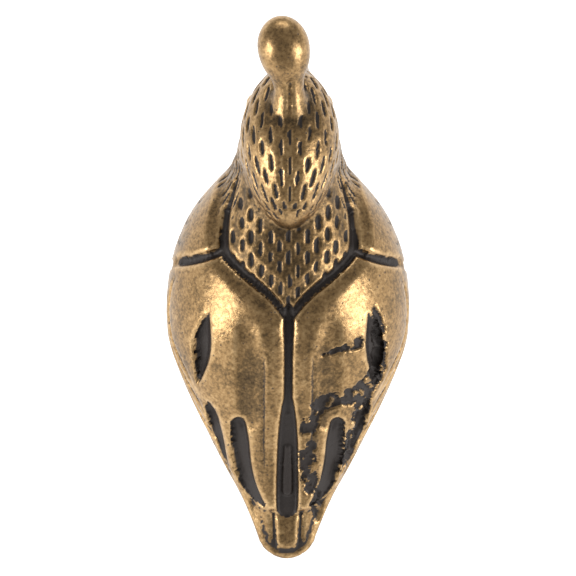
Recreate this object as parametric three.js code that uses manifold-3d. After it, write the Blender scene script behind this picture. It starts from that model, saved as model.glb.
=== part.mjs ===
// A small solid brass quail, cast in one piece: a crested bird with folded wings that stands on its own feet.
// Millimetres, +Z up. The bird faces -Y, its left side is +X, and its soles stand on z = 0.
// Until the last step a point is given by its places across (+ is the bird's right), ahead of the tail tip
// and up.
//
// The casting is one rounded form with carving cut into it, so it is worked out as one smooth distance field:
// each function below gives the distance from a point to one form, below zero inside it. The forms are
// joined with soft fillets, the grooves are subtracted, and the surface where the field is zero is meshed
// and thinned.
import * as THREE from 'three';
import Module from 'manifold-3d';
import { mergeVertices } from 'three/addons/utils/BufferGeometryUtils.js';

const { clamp, degToRad, lerp, smoothstep } = THREE.MathUtils;

// Driving dimensions
const BODY_WIDTH = 18;
const BODY_LENGTH = 29.3; // tail tip to breast, along the back
const BACK_SLOPE = degToRad(20); // the back rises this much from the tail to the neck
const TAIL_HEIGHT = 4.2; // tail tip above the ground
const LENGTH_MIDDLE = 16.6; // from the tail tip to the middle of the bird's length
const HEAD_WIDTH = 7.2;
const FEET_APART = 5.4; // between the middles of the feet

// The body is round in section. Its half widths and half depths run from the tail tip to the widest place.
const WIDEST_AT = 18.3;
const BREAST_POWER = 2.3; // how full the breast is: 2 would be an ellipse
const TAIL_CAP = 1.4; // length of the tail's rounded end
const BODY_LEAN = Math.tan(degToRad(10)); // the body's middle line rises this much against the back's plane
const HALF_WIDTHS = [[0, 1.65], [2.1, 2.3], [4.6, 3.35], [7, 4.65], [10.4, 6.4], [13.9, 8], [16.3, 8.8]];
const HALF_DEPTHS_ABOVE = [[0, 0.85], [2.5, 1.55], [5, 2.5], [8, 3.9], [12, 6], [16, 7.8]];
const HALF_DEPTHS_BELOW = [[0, 0.8], [2.5, 1.2], [5, 1.95], [8, 3.1], [12, 5.5], [16, 8]];
const DEPTH_ABOVE = 8.3;
const DEPTH_BELOW = 8.6;

// Mesh
const GRID_STEP = 0.25;
const TRIANGLES = 9300;
const MARGIN = 0.6;

// The back has axes of its own, from the tail tip: `along` runs up the back and `out` stands square to it.
// The carving of the back is laid out on across and along, both in millimetres.
const COS_SLOPE = Math.cos(BACK_SLOPE);
const SIN_SLOPE = Math.sin(BACK_SLOPE);
const alongBack = (ahead, up) => ahead * COS_SLOPE + (up - TAIL_HEIGHT) * SIN_SLOPE;
const outOfBack = (ahead, up) => (up - TAIL_HEIGHT) * COS_SLOPE - ahead * SIN_SLOPE;

// A smooth curve through [place, value] pairs, kept as a table that is read in between.
function smoothCurve(pairs) {
  const first = pairs[0][0];
  const last = pairs[pairs.length - 1][0];
  const curve = new THREE.SplineCurve(pairs.map(([place, value]) => new THREE.Vector2(place, value)));
  const points = curve.getPoints(40 * pairs.length);
  const steps = 400;
  const table = new Float64Array(steps + 1);
  let k = 0;
  for (let i = 0; i <= steps; i++) {
    const place = lerp(first, last, i / steps);
    while (k < points.length - 2 && points[k + 1].x < place) k++;
    const share = (place - points[k].x) / (points[k + 1].x - points[k].x);
    table[i] = lerp(points[k].y, points[k + 1].y, clamp(share, 0, 1));
  }
  return (place) => {
    const at = clamp((place - first) / (last - first), 0, 1) * steps;
    const i = Math.min(Math.floor(at), steps - 1);
    return lerp(table[i], table[i + 1], at - i);
  };
}

// Joins two distances with a fillet of about this radius.
function join(a, b, radius) {
  const near = Math.max(radius - Math.abs(a - b), 0) / radius;
  return Math.min(a, b) - near * near * radius * 0.25;
}

// Distance to an egg around the origin: its reach differs ahead and behind, and above and below.
function egg(x, y, z, { ahead, behind, side, above, below, power = 2 }) {
  const lengthwise = Math.abs(y) / (y > 0 ? ahead : behind);
  const round = Math.hypot(x / side, z / (z > 0 ? above : below));
  const reach = Math.pow(Math.pow(lengthwise, power) + Math.pow(round, power), 1 / power);
  return reach < 1e-6 ? -side : Math.hypot(x, y, z) * (1 - 1 / reach);
}

// Distance to a rod with round ends that goes from one radius to another.
function rod(p, from, to) {
  const [ax, ay, az, startRadius] = from;
  const [bx, by, bz, endRadius] = to;
  const ux = bx - ax;
  const uy = by - ay;
  const uz = bz - az;
  const lengthwise = (p.x - ax) * ux + (p.y - ay) * uy + (p.z - az) * uz;
  const at = clamp(lengthwise / (ux * ux + uy * uy + uz * uz), 0, 1);
  const away = Math.hypot(p.x - ax - at * ux, p.y - ay - at * uy, p.z - az - at * uz);
  return away - lerp(startRadius, endRadius, at);
}

// A tapering groove along a smooth path. It gives the depth of the cut at (across, along): full on a flat
// bottom, easing out to nothing at the edge.
function groove({ path, halfWidth, depth }) {
  const curve = new THREE.SplineCurve(path.map(([x, y]) => new THREE.Vector2(x, y)));
  const points = curve.getPoints(8 * path.length);
  const [startWidth, endWidth] = halfWidth;
  const reach = Math.max(startWidth, endWidth);
  const low = new THREE.Vector2(Infinity, Infinity);
  const high = new THREE.Vector2(-Infinity, -Infinity);
  for (const point of points) {
    low.min(point);
    high.max(point);
  }
  return (across, along) => {
    if (across < low.x - reach || across > high.x + reach) return 0;
    if (along < low.y - reach || along > high.y + reach) return 0;
    let share = Infinity;
    for (let i = 0; i < points.length - 1; i++) {
      const a = points[i];
      const ux = points[i + 1].x - a.x;
      const uy = points[i + 1].y - a.y;
      const at = clamp(((across - a.x) * ux + (along - a.y) * uy) / (ux * ux + uy * uy), 0, 1);
      const width = lerp(startWidth, endWidth, (i + at) / (points.length - 1));
      share = Math.min(share, Math.hypot(across - a.x - at * ux, along - a.y - at * uy) / width);
    }
    return depth * (1 - smoothstep(share, 0.35, 1));
  };
}

// Body: the tail, the wings and the breast share one outer form, which the carving then divides.
const halfWidth = smoothCurve([...HALF_WIDTHS, [WIDEST_AT, BODY_WIDTH / 2]]);
const depthAbove = smoothCurve([...HALF_DEPTHS_ABOVE, [WIDEST_AT, DEPTH_ABOVE]]);
const depthBelow = smoothCurve([...HALF_DEPTHS_BELOW, [WIDEST_AT, DEPTH_BELOW]]);

function body(x, along, out) {
  const off = out - BODY_LEAN * along;
  const deep = off > 0 ? depthAbove(along) : depthBelow(along);
  const round = Math.hypot(x / halfWidth(along), off / deep);
  if (along > WIDEST_AT) {
    const ahead = along - WIDEST_AT;
    const share = ahead / (BODY_LENGTH - WIDEST_AT);
    const reach = Math.pow(Math.pow(share, BREAST_POWER) + Math.pow(round, BREAST_POWER), 1 / BREAST_POWER);
    return Math.hypot(x, off, ahead) * (1 - 1 / Math.max(reach, 1e-6));
  }
  const behind = Math.max(TAIL_CAP - along, 0);
  const reach = Math.max(Math.hypot(behind / TAIL_CAP, round), 1e-6);
  return Math.hypot(x, off, behind) * (1 - 1 / reach);
}

// Carving of the back, as [across, along] paths on the bird's left, mirrored to its right.
const MANTLE_EDGE = [
  [3.7, 27.8], [3.7, 27], [4.55, 24.8], [4.75, 22.6], [3.6, 20.4], [1.95, 18.9], [0.2, 17.5],
];
const WING_PARTING = [[0, 18.4], [0, 14], [0, 10.5], [0, 7.5], [0, 3.4]];
const WING_FRONT = [[4.7, 22.3], [6.4, 21.8], [8, 21.5], [9.4, 21.2]];
const SHOULDER_SLOT = [[5.95, 17.8], [6.35, 16.2], [6.4, 14.9], [6.35, 13.2]];
const OUTER_FLIGHT_GAP = [[6, 11.4], [5.45, 10.4], [4.85, 7.6], [4.6, 6.7]];
const INNER_FLIGHT_GAP = [[3.6, 10.1], [3.3, 7.9], [3.05, 6.2], [2.6, 4.4]];
const SHOULDER_RIDGE = [[5.5, 19.8], [4.9, 17.6], [4.2, 15.6], [4, 12]];
const backGrooves = [
  groove({ path: MANTLE_EDGE, halfWidth: [0.4, 0.42], depth: 0.5 }),
  groove({ path: WING_PARTING.slice(0, 3), halfWidth: [0.36, 0.62], depth: 0.65 }),
  groove({ path: WING_PARTING.slice(2), halfWidth: [0.62, 0.95], depth: 0.75 }),
  groove({ path: WING_FRONT, halfWidth: [0.42, 0.42], depth: 0.45 }),
  groove({ path: SHOULDER_SLOT, halfWidth: [0.6, 0.5], depth: 0.75 }),
  groove({ path: OUTER_FLIGHT_GAP, halfWidth: [0.35, 0.42], depth: 0.6 }),
  groove({ path: INNER_FLIGHT_GAP, halfWidth: [0.68, 0.6], depth: 0.75 }),
];

// Broad, shallow hollows round the grooves make the wings and the breast look full.
const softGrooves = [
  groove({ path: MANTLE_EDGE, halfWidth: [1.5, 1.5], depth: 0.3 }),
  groove({ path: WING_PARTING, halfWidth: [1.2, 1.5], depth: 0.25 }),
  groove({ path: [[2.9, 16], [2.8, 13], [2.7, 10]], halfWidth: [1.3, 1.1], depth: 0.18 }),
];
const shoulderSwell = groove({ path: SHOULDER_RIDGE, halfWidth: [1.5, 1.2], depth: 0.4 });

// The tail lies a step lower than the wing tips, which end in a V on each side of the parting.
const WING_TIPS = smoothCurve([[0, 3.2], [1, 3.7], [1.9, 3.8], [2.7, 4.5], [3.4, 5.3], [4.2, 6.2], [5.5, 7]]);
const TAIL_STEP = 0.45;
const TAIL_FEATHER_EDGES = [0.85, 2.05];

function tailCarving(across, along) {
  const behindWing = smoothstep(WING_TIPS(across) - along, 0, 0.5);
  const spread = lerp(1, 1.25, clamp(along / 4, 0, 1));
  let between = 0;
  for (const edge of TAIL_FEATHER_EDGES) {
    between = Math.max(between, 1 - smoothstep(Math.abs(across - edge * spread), 0.06, 0.26));
  }
  return behindWing * (TAIL_STEP + 0.28 * between * smoothstep(along, 0.2, 1));
}

// The wing's lower edge on the flank: the belly below it lies a step further in.
const WING_EDGE = [[3, 0.2], [6, -0.4], [10, -1.1], [14, -2.1], [18, -3], [20.6, -2.2], [21.4, 0.5]];
const wingEdge = smoothCurve(WING_EDGE);
const BELLY_STEP = 0.55;
const BELLY_FADE = 5; // below the edge the step eases out over this height
const FLANK_FEATHERS = [1.1, 2.3]; // lines above the wing's lower edge

function flankCarving(along, out) {
  const off = out - BODY_LEAN * along;
  const overEdge = off - wingEdge(along);
  const belly = (1 - smoothstep(overEdge, -0.55, 0.05)) * smoothstep(overEdge, -BELLY_FADE, -1);
  const onWing = smoothstep(along, 4, 6) * (1 - smoothstep(along, 20.8, 21.6));
  let line = 0;
  for (const height of FLANK_FEATHERS) {
    const lineEnd = smoothstep(along, 6, 7) * (1 - smoothstep(along, 15.5 + height, 17 + height));
    line = Math.max(line, lineEnd * (1 - smoothstep(Math.abs(overEdge - height), 0.08, 0.34)));
  }
  const depth = Math.max(belly * BELLY_STEP, line * 0.22);
  const breastGroove = 1 - smoothstep(Math.abs(along - 21.5 + 0.05 * off), 0.15, 0.42);
  return Math.max(depth * onWing, breastGroove * smoothstep(off, -3.2, -1.6) * 0.45);
}

function bodyCarving(x, along, out) {
  const across = Math.abs(x);
  const onBack = smoothstep((out - BODY_LEAN * along) / depthAbove(along), 0.15, 0.4);
  const flank = flankCarving(along, out) * (1 - onBack);
  if (onBack === 0) return flank;
  let sharp = tailCarving(across, along);
  for (const depthAt of backGrooves) sharp = Math.max(sharp, depthAt(across, along));
  let soft = 0;
  for (const depthAt of softGrooves) soft = Math.max(soft, depthAt(across, along));
  return flank + onBack * (sharp + soft - shoulderSwell(across, along));
}

// Neck, head and hood. The hood is the cap of feathers that ends in a V over the nape.
const NECK = { low: [0, 24.4, 6.2, 6], high: [0, 29.8, 10.9, 3.85] };
const HOOD_MIDDLE = { along: 31, out: 12.5 };
const HOOD = { ahead: 5.3, behind: 6.5, side: HEAD_WIDTH / 2, above: 4.1, below: 4.2, power: 1.95 };
const HOOD_NOD = degToRad(-6);

function hood(x, along, out) {
  const y = along - HOOD_MIDDLE.along;
  const z = out - HOOD_MIDDLE.out;
  const c = Math.cos(HOOD_NOD);
  const s = Math.sin(HOOD_NOD);
  return egg(x, y * c + z * s, z * c - y * s, HOOD);
}

// Beak, eyes and plume, in the bird's own directions: [across, ahead, up, radius]
const BEAK = { root: [0, 29.2, 26.1, 1.85], middle: [0, 31.2, 25.6, 1.2], tip: [0, 32.5, 24.4, 0.5] };
const MOUTH_DROP = 0.55; // from the beak's middle line to the line between its halves
const EYE = { across: 2.45, ahead: 27.3, up: 27.6, radius: 0.85 };
const PLUME_ROOT = [0, 25.6, 29.6, 1.45];
const PLUME_NECK = [-0.1, 27, 31.4, 1.05];
const KNOB = { across: -0.5, ahead: 29.2, up: 33.6, lift: degToRad(45), lean: degToRad(9) };
const KNOB_SHAPE = { ahead: 2.35, behind: 2.9, side: 1.85, above: 1.75, below: 1.75, power: 2 };

function beak(p) {
  const upper = join(rod(p, BEAK.root, BEAK.middle), rod(p, BEAK.middle, BEAK.tip), 0.5);
  const mouthLine = BEAK.middle[2] - MOUTH_DROP - 0.55 * Math.max(p.y - BEAK.middle[1], 0);
  const parting = 0.5 * Math.max(0.25 - Math.abs(p.z - mouthLine), 0) * smoothstep(p.y, 29.6, 30.4);
  return upper + parting;
}

function eye(p) {
  const middle = Math.hypot(Math.abs(p.x) - EYE.across, p.y - EYE.ahead, p.z - EYE.up);
  return middle - EYE.radius;
}

function eyeRing(p) {
  const aside = Math.hypot(p.y - EYE.ahead, p.z - EYE.up);
  return 0.22 * (1 - smoothstep(Math.abs(aside - EYE.radius - 0.1), 0.05, 0.4));
}

function plume(p) {
  const stem = rod(p, PLUME_ROOT, PLUME_NECK);
  const x = p.x - KNOB.across;
  const y = p.y - KNOB.ahead;
  const z = p.z - KNOB.up;
  const stemwise = y * Math.cos(KNOB.lift) + z * Math.sin(KNOB.lift);
  const aboveStem = z * Math.cos(KNOB.lift) - y * Math.sin(KNOB.lift);
  const c = Math.cos(KNOB.lean);
  const s = Math.sin(KNOB.lean);
  const knob = egg(x * c + stemwise * s, stemwise * c - x * s, aboveStem, KNOB_SHAPE);
  const feathersPart = (1 - smoothstep(Math.abs(p.x + 0.05), 0.05, 0.3)) * smoothstep(-stemwise, 1.8, 2.6);
  return join(stem, knob, 0.9) + 0.16 * feathersPart;
}

// Legs, on the bird's left and mirrored: [across, ahead, up, radius]
const FOOT_AHEAD = 15.2;
const LEG = {
  thigh: [3.1, 15.4, 7.6, 2.9],
  heel: [FEET_APART / 2, 14.9, 3.6, 1.5],
  shank: [FEET_APART / 2, 14.8, 3, 1.05],
  ankle: [FEET_APART / 2, FOOT_AHEAD, 0.6, 1],
};
const TOE_RADIUS = 0.72;
const TOE_HEIGHT = 0.5;
const TOES = [[2, 5.2], [27, 4.6], [-22, 4.4], [174, 2.9]]; // [degrees outward, length], the last to the back

function leg(p) {
  const q = { x: Math.abs(p.x), y: p.y, z: p.z };
  let foot = rod(q, LEG.shank, LEG.ankle);
  for (const [turn, length] of TOES) {
    const angle = degToRad(turn);
    const root = [LEG.ankle[0], LEG.ankle[1], TOE_HEIGHT, TOE_RADIUS];
    const aside = root[0] + length * Math.sin(angle);
    const ahead = root[1] + length * Math.cos(angle);
    foot = join(foot, rod(q, root, [aside, ahead, TOE_HEIGHT - 0.15, 0.42]), 0.5);
  }
  return join(rod(q, LEG.thigh, LEG.heel), foot, 0.7);
}

// The whole casting, from the point's place across, ahead of the tail tip and up from the ground.
function casting(x, ahead, up) {
  const p = { x, y: ahead, z: up };
  const along = alongBack(ahead, up);
  const out = outOfBack(ahead, up);
  const q = { x, y: along, z: out };
  let trunk = body(x, along, out);
  trunk = join(trunk, rod(q, NECK.low, NECK.high), 2.2);
  if (Math.abs(trunk) < 2) trunk += bodyCarving(x, along, out);
  let head = join(hood(x, along, out), beak(p), 0.9);
  head = join(head + eyeRing(p), eye(p), 0.15);
  let whole = join(trunk, head, 0.35);
  whole = join(whole, plume(p), 0.5);
  return join(whole, leg(p), 0.9);
}

// Meshing: one vertex in each grid cell that the surface crosses, and a face across each crossed grid edge.
const LOW = new THREE.Vector3(-BODY_WIDTH / 2 - MARGIN, -MARGIN, -1.3);
const HIGH = new THREE.Vector3(BODY_WIDTH / 2 + MARGIN, 33.3 + MARGIN, 36 + MARGIN);

// A grid face whose corners alternate, or a cell with two opposite corners on their own side, leaves open how
// the surface runs. Its outer corner nearest to the surface is filled there, so each pass can only add metal.
function fillDoubts(values, [nx, ny, nz]) {
  const strides = [1, nx, nx * ny];
  const diagonals = [nx * ny + nx + 1, nx * ny + nx - 1, nx * ny - nx + 1, nx * ny - nx - 1];
  const isIn = (corner) => values[corner] < 0;
  const fillNearest = (corners) => {
    const open = corners.filter((corner) => !isIn(corner));
    values[open.reduce((a, b) => (values[a] < values[b] ? a : b))] = -1e-3 * GRID_STEP;
  };
  for (let filled = 1; filled > 0;) {
    filled = 0;
    for (let here = 0; here < nx * (ny * (nz - 1) - 1) - 1; here++) {
      const cell = [0, 1, nx, nx + 1].flatMap((corner) => [here + corner, here + corner + nx * ny]);
      const within = cell.filter(isIn);
      if (within.length === 0 || within.length === 8) continue;
      for (let axis = 0; axis < 3; axis++) {
        const u = strides[axis];
        const v = strides[(axis + 1) % 3];
        const alternates = isIn(here) === isIn(here + u + v) && isIn(here + u) === isIn(here + v);
        if (!alternates || isIn(here) === isIn(here + u)) continue;
        fillNearest([here, here + u, here + v, here + u + v]);
        filled++;
      }
      const few = within.length === 2 ? within : cell.filter((corner) => !isIn(corner));
      if (few.length !== 2 || !diagonals.includes(Math.abs(few[1] - few[0]))) continue;
      fillNearest(cell);
      filled++;
    }
  }
}

function meshOfField(field) {
  const size = HIGH.clone().sub(LOW).divideScalar(GRID_STEP).ceil();
  const [nx, ny, nz] = [size.x + 1, size.y + 1, size.z + 1];
  const values = new Float32Array(nx * ny * nz);
  const index = (i, j, k) => i + nx * (j + ny * k);
  for (let k = 0; k < nz; k++) {
    for (let j = 0; j < ny; j++) {
      for (let i = 0; i < nx; i++) {
        values[index(i, j, k)] = field(LOW.x + i * GRID_STEP, LOW.y + j * GRID_STEP, LOW.z + k * GRID_STEP);
      }
    }
  }
  fillDoubts(values, [nx, ny, nz]);
  const cellVertex = new Int32Array(nx * ny * nz).fill(-1);
  const positions = [];
  const corner = new THREE.Vector3();
  const sum = new THREE.Vector3();
  for (let k = 0; k < nz - 1; k++) {
    for (let j = 0; j < ny - 1; j++) {
      for (let i = 0; i < nx - 1; i++) {
        sum.set(0, 0, 0);
        let crossings = 0;
        for (let axis = 0; axis < 3; axis++) {
          for (let side = 0; side < 4; side++) {
            const start = [0, 0, 0];
            start[(axis + 1) % 3] = side & 1;
            start[(axis + 2) % 3] = side >> 1;
            const end = [...start];
            end[axis] = 1;
            const a = values[index(i + start[0], j + start[1], k + start[2])];
            const b = values[index(i + end[0], j + end[1], k + end[2])];
            if (a < 0 === b < 0) continue;
            corner.fromArray(start).setComponent(axis, a / (a - b));
            sum.add(corner);
            crossings++;
          }
        }
        if (crossings === 0) continue;
        cellVertex[index(i, j, k)] = positions.length / 3;
        sum.divideScalar(crossings);
        positions.push(
          LOW.x + (i + sum.x) * GRID_STEP,
          LOW.y + (j + sum.y) * GRID_STEP,
          LOW.z + (k + sum.z) * GRID_STEP,
        );
      }
    }
  }
  const faces = [];
  const strides = [1, nx, nx * ny];
  for (let k = 1; k < nz - 1; k++) {
    for (let j = 1; j < ny - 1; j++) {
      for (let i = 1; i < nx - 1; i++) {
        const here = index(i, j, k);
        for (let axis = 0; axis < 3; axis++) {
          const inside = values[here] < 0;
          if (inside === values[here + strides[axis]] < 0) continue;
          const u = strides[(axis + 1) % 3];
          const v = strides[(axis + 2) % 3];
          const [a, b, c, d] = [here - u - v, here - v, here, here - u].map((cell) => cellVertex[cell]);
          if (inside) faces.push(a, b, c, a, c, d);
          else faces.push(a, c, b, a, d, c);
        }
      }
    }
  }
  return { positions: Float64Array.from(positions), faces: Int32Array.from(faces) };
}

// Moves each vertex along the field's slope until it lies on the surface.
function settle(positions, field) {
  const small = 0.01;
  for (let i = 0; i < positions.length; i += 3) {
    for (let round = 0; round < 2; round++) {
      const [x, y, z] = positions.subarray(i, i + 3);
      const value = field(x, y, z);
      const slope = new THREE.Vector3(
        field(x + small, y, z) - field(x - small, y, z),
        field(x, y + small, z) - field(x, y - small, z),
        field(x, y, z + small) - field(x, y, z - small),
      ).divideScalar(2 * small);
      const move = clamp(value / Math.max(slope.lengthSq(), 0.2), -0.4 * GRID_STEP, 0.4 * GRID_STEP);
      positions[i] -= move * slope.x;
      positions[i + 1] -= move * slope.y;
      positions[i + 2] -= move * slope.z;
    }
  }
}

// Thins the mesh: the edge whose removal moves the surface least goes first, by the squared distance of its
// new vertex from the planes of the faces around it. A symmetric 4 x 4 sum of planes is kept as ten numbers.
function planeSum(normal, offset, weight) {
  const n = [normal.x, normal.y, normal.z, offset];
  const sum = [];
  for (let i = 0; i < 4; i++) for (let j = i; j < 4; j++) sum.push(weight * n[i] * n[j]);
  return sum;
}

function planeError(q, x, y, z) {
  return q[0] * x * x + 2 * q[1] * x * y + 2 * q[2] * x * z + 2 * q[3] * x
    + q[4] * y * y + 2 * q[5] * y * z + 2 * q[6] * y + q[7] * z * z + 2 * q[8] * z + q[9];
}

// The place where the sum of plane errors is least, or null where it isn't well defined.
function bestPlace(q) {
  const matrix = new THREE.Matrix3().set(q[0], q[1], q[2], q[1], q[4], q[5], q[2], q[5], q[7]);
  const size = Math.cbrt(Math.abs(matrix.determinant()));
  if (size < 1e-3 * (q[0] + q[4] + q[7])) return null;
  return new THREE.Vector3(-q[3], -q[6], -q[8]).applyMatrix3(matrix.invert());
}

// A heap of edges, with the cheapest on top.
class EdgeHeap {
  items = [];

  push(item) {
    const { items } = this;
    let at = items.push(item) - 1;
    while (at > 0) {
      const parent = (at - 1) >> 1;
      if (items[parent].cost <= item.cost) break;
      items[at] = items[parent];
      at = parent;
    }
    items[at] = item;
  }

  pop() {
    const { items } = this;
    const top = items[0];
    const last = items.pop();
    if (items.length === 0) return top;
    let at = 0;
    for (;;) {
      let child = 2 * at + 1;
      if (child >= items.length) break;
      if (child + 1 < items.length && items[child + 1].cost < items[child].cost) child++;
      if (items[child].cost >= last.cost) break;
      items[at] = items[child];
      at = child;
    }
    items[at] = last;
    return top;
  }
}

function thin({ positions, faces }, target) {
  const count = positions.length / 3;
  const places = Array.from({ length: count }, (_, i) => new THREE.Vector3().fromArray(positions, 3 * i));
  const around = Array.from({ length: count }, () => new Set());
  const quadrics = Array.from({ length: count }, () => new Float64Array(10));
  const versions = new Int32Array(count);
  const triangle = new THREE.Triangle();
  const normal = new THREE.Vector3();
  const corners = (face) => [faces[3 * face], faces[3 * face + 1], faces[3 * face + 2]];
  let left = faces.length / 3;
  for (let face = 0; face < left; face++) {
    const [a, b, c] = corners(face);
    triangle.set(places[a], places[b], places[c]).getNormal(normal);
    const sum = planeSum(normal, -normal.dot(places[a]), triangle.getArea());
    for (const vertex of [a, b, c]) {
      around[vertex].add(face);
      for (let i = 0; i < 10; i++) quadrics[vertex][i] += sum[i];
    }
  }
  const neighbours = (vertex) => {
    const found = new Set();
    for (const face of around[vertex]) {
      for (const other of corners(face)) if (other !== vertex) found.add(other);
    }
    return found;
  };
  const heap = new EdgeHeap();
  const consider = (a, b) => {
    const q = quadrics[a].map((value, i) => value + quadrics[b][i]);
    const middle = places[a].clone().add(places[b]).multiplyScalar(0.5);
    const best = bestPlace(q);
    const length = places[a].distanceTo(places[b]);
    const place = best && best.distanceTo(middle) < length ? best : middle;
    // A small charge for length keeps flat places from being thinned into long slivers.
    const cost = Math.max(planeError(q, place.x, place.y, place.z), 0) + 2e-6 * length ** 4;
    heap.push({ cost, a, b, place, versionA: versions[a], versionB: versions[b] });
  };
  for (let vertex = 0; vertex < count; vertex++) {
    for (const other of neighbours(vertex)) if (other > vertex) consider(vertex, other);
  }
  // A move is kept only if no face around the vertex turns over or becomes a sliver.
  const before = new THREE.Vector3();
  const after = new THREE.Vector3();
  const movesWell = (vertex, partner, place) => {
    for (const face of around[vertex]) {
      const [a, b, c] = corners(face);
      if (a === partner || b === partner || c === partner) continue;
      triangle.set(places[a], places[b], places[c]).getNormal(before);
      const moved = [a, b, c].map((corner) => (corner === vertex ? place : places[corner]));
      triangle.set(...moved).getNormal(after);
      const sides = moved.map((corner, i) => corner.distanceTo(moved[(i + 1) % 3]));
      const longest = Math.max(...sides);
      if (before.dot(after) < 0.3 || triangle.getArea() < 0.04 * longest * longest) return false;
    }
    return true;
  };
  while (left > target && heap.items.length > 0) {
    const edge = heap.pop();
    const { a, b, place } = edge;
    if (edge.versionA !== versions[a] || edge.versionB !== versions[b]) continue;
    const besideA = neighbours(a);
    const shared = [...neighbours(b)].filter((vertex) => besideA.has(vertex));
    if (shared.length !== 2) continue;
    if (!movesWell(a, b, place) || !movesWell(b, a, place)) continue;
    places[a].copy(place);
    for (let i = 0; i < 10; i++) quadrics[a][i] += quadrics[b][i];
    for (const face of [...around[b]]) {
      const own = corners(face);
      if (own.includes(a)) {
        for (const vertex of own) around[vertex].delete(face);
        faces[3 * face] = -1;
        left--;
      } else {
        faces[3 * face + own.indexOf(b)] = a;
        around[a].add(face);
      }
    }
    versions[a]++;
    versions[b] = -1;
    for (const other of neighbours(a)) consider(a, other);
  }
  const renumbered = new Map();
  const kept = { positions: [], faces: [] };
  for (let face = 0; face < faces.length / 3; face++) {
    if (faces[3 * face] < 0) continue;
    for (const vertex of corners(face)) {
      if (!renumbered.has(vertex)) {
        renumbered.set(vertex, renumbered.size);
        kept.positions.push(...places[vertex].toArray());
      }
      kept.faces.push(renumbered.get(vertex));
    }
  }
  return kept;
}

// The soles are cut flat, so that the figurine stands.
const wasm = await Module();
wasm.setup();
const solid = (positions, faces) => new wasm.Manifold(new wasm.Mesh({
  numProp: 3,
  vertProperties: Float32Array.from(positions),
  triVerts: Uint32Array.from(faces),
}));

function floorBlock() {
  const block = new THREE.BoxGeometry(40, 80, 4);
  block.translate(0, 0, -2);
  block.deleteAttribute('normal');
  block.deleteAttribute('uv');
  const merged = mergeVertices(block);
  return solid(merged.attributes.position.array, merged.index.array);
}

function figurineGeometry() {
  const raw = meshOfField(casting);
  settle(raw.positions, casting);
  const thinned = thin(raw, TRIANGLES);
  const pieces = solid(thinned.positions, thinned.faces).subtract(floorBlock()).decompose();
  // A speck that the grid leaves in a narrow corner isn't part of the casting.
  const standing = pieces.reduce((a, b) => (a.volume() > b.volume() ? a : b)).getMesh();
  const geometry = new THREE.BufferGeometry();
  geometry.setAttribute('position', new THREE.BufferAttribute(standing.vertProperties, 3));
  geometry.setIndex(new THREE.BufferAttribute(standing.triVerts, 1));
  // The field was worked out ahead from the tail tip, and the bird faces -Y.
  const positions = geometry.attributes.position;
  for (let i = 0; i < positions.count; i++) {
    positions.setXYZ(i, -positions.getX(i), LENGTH_MIDDLE - positions.getY(i), positions.getZ(i));
  }
  return geometry;
}

const agedBrass = new THREE.MeshStandardMaterial({ color: 0x9a7845, roughness: 0.32, metalness: 1 });
const figurine = new THREE.Mesh(figurineGeometry(), agedBrass);
figurine.name = 'quail_figurine';

const group = new THREE.Group();
group.add(figurine);

export default group;
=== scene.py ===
# Looks of a small solid brass quail: one casting with engraved feathers, worn bright over a dark patina.
#
# The casting is worked out as a distance field, below zero inside, in millimetres. Until the last step a
# point is given by its places across (+ is the bird's right), ahead of the tail tip and up from the ground.
import math

import bpy
import numpy as np
from mathutils import Matrix, Vector


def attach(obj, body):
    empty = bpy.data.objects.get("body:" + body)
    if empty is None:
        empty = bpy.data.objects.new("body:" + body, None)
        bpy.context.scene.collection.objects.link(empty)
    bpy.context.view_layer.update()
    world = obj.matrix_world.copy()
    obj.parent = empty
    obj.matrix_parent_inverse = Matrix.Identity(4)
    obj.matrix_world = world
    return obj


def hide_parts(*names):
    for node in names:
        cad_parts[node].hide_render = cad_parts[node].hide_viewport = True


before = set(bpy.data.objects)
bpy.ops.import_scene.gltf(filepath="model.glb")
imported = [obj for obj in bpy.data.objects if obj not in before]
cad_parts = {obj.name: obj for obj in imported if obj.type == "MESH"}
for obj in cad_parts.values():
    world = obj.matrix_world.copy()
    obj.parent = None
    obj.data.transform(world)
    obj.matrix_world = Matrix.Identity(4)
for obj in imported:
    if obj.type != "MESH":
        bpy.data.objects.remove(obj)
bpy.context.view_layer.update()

MM = 0.001
NODE = "quail_figurine"

# Driving dimensions, in millimetres
BODY_WIDTH = 18
BODY_LENGTH = 29.3  # tail tip to breast, along the back
BACK_SLOPE = math.radians(20)
TAIL_HEIGHT = 4.2
LENGTH_MIDDLE = 16.6  # from the tail tip to the middle of the bird's length
HEAD_WIDTH = 7.2
FEET_APART = 5.4

WIDEST_AT = 18.3
BREAST_POWER = 2.3
TAIL_CAP = 1.4
BODY_LEAN = math.tan(math.radians(10))
HALF_WIDTHS = [(0, 1.65), (2.1, 2.3), (4.6, 3.35), (7, 4.65), (10.4, 6.4), (13.9, 8), (16.3, 8.8)]
HALF_DEPTHS_ABOVE = [(0, 0.85), (2.5, 1.55), (5, 2.5), (8, 3.9), (12, 6), (16, 7.8)]
HALF_DEPTHS_BELOW = [(0, 0.8), (2.5, 1.2), (5, 1.95), (8, 3.1), (12, 5.5), (16, 8)]
DEPTH_ABOVE = 8.3
DEPTH_BELOW = 8.6

# Mesh, in millimetres
VOXEL = 0.32
FINE_EDGE = 0.09
COARSE_EDGE = 0.38
MOST_TRIANGLES = 196_000


# Curves and joins

def smooth_curve(pairs):
    """A smooth curve through (place, value) pairs, as a function of the place."""
    places, values = catmull_rom(pairs, 40 * len(pairs))
    return lambda place: np.interp(place, places, values)


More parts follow.
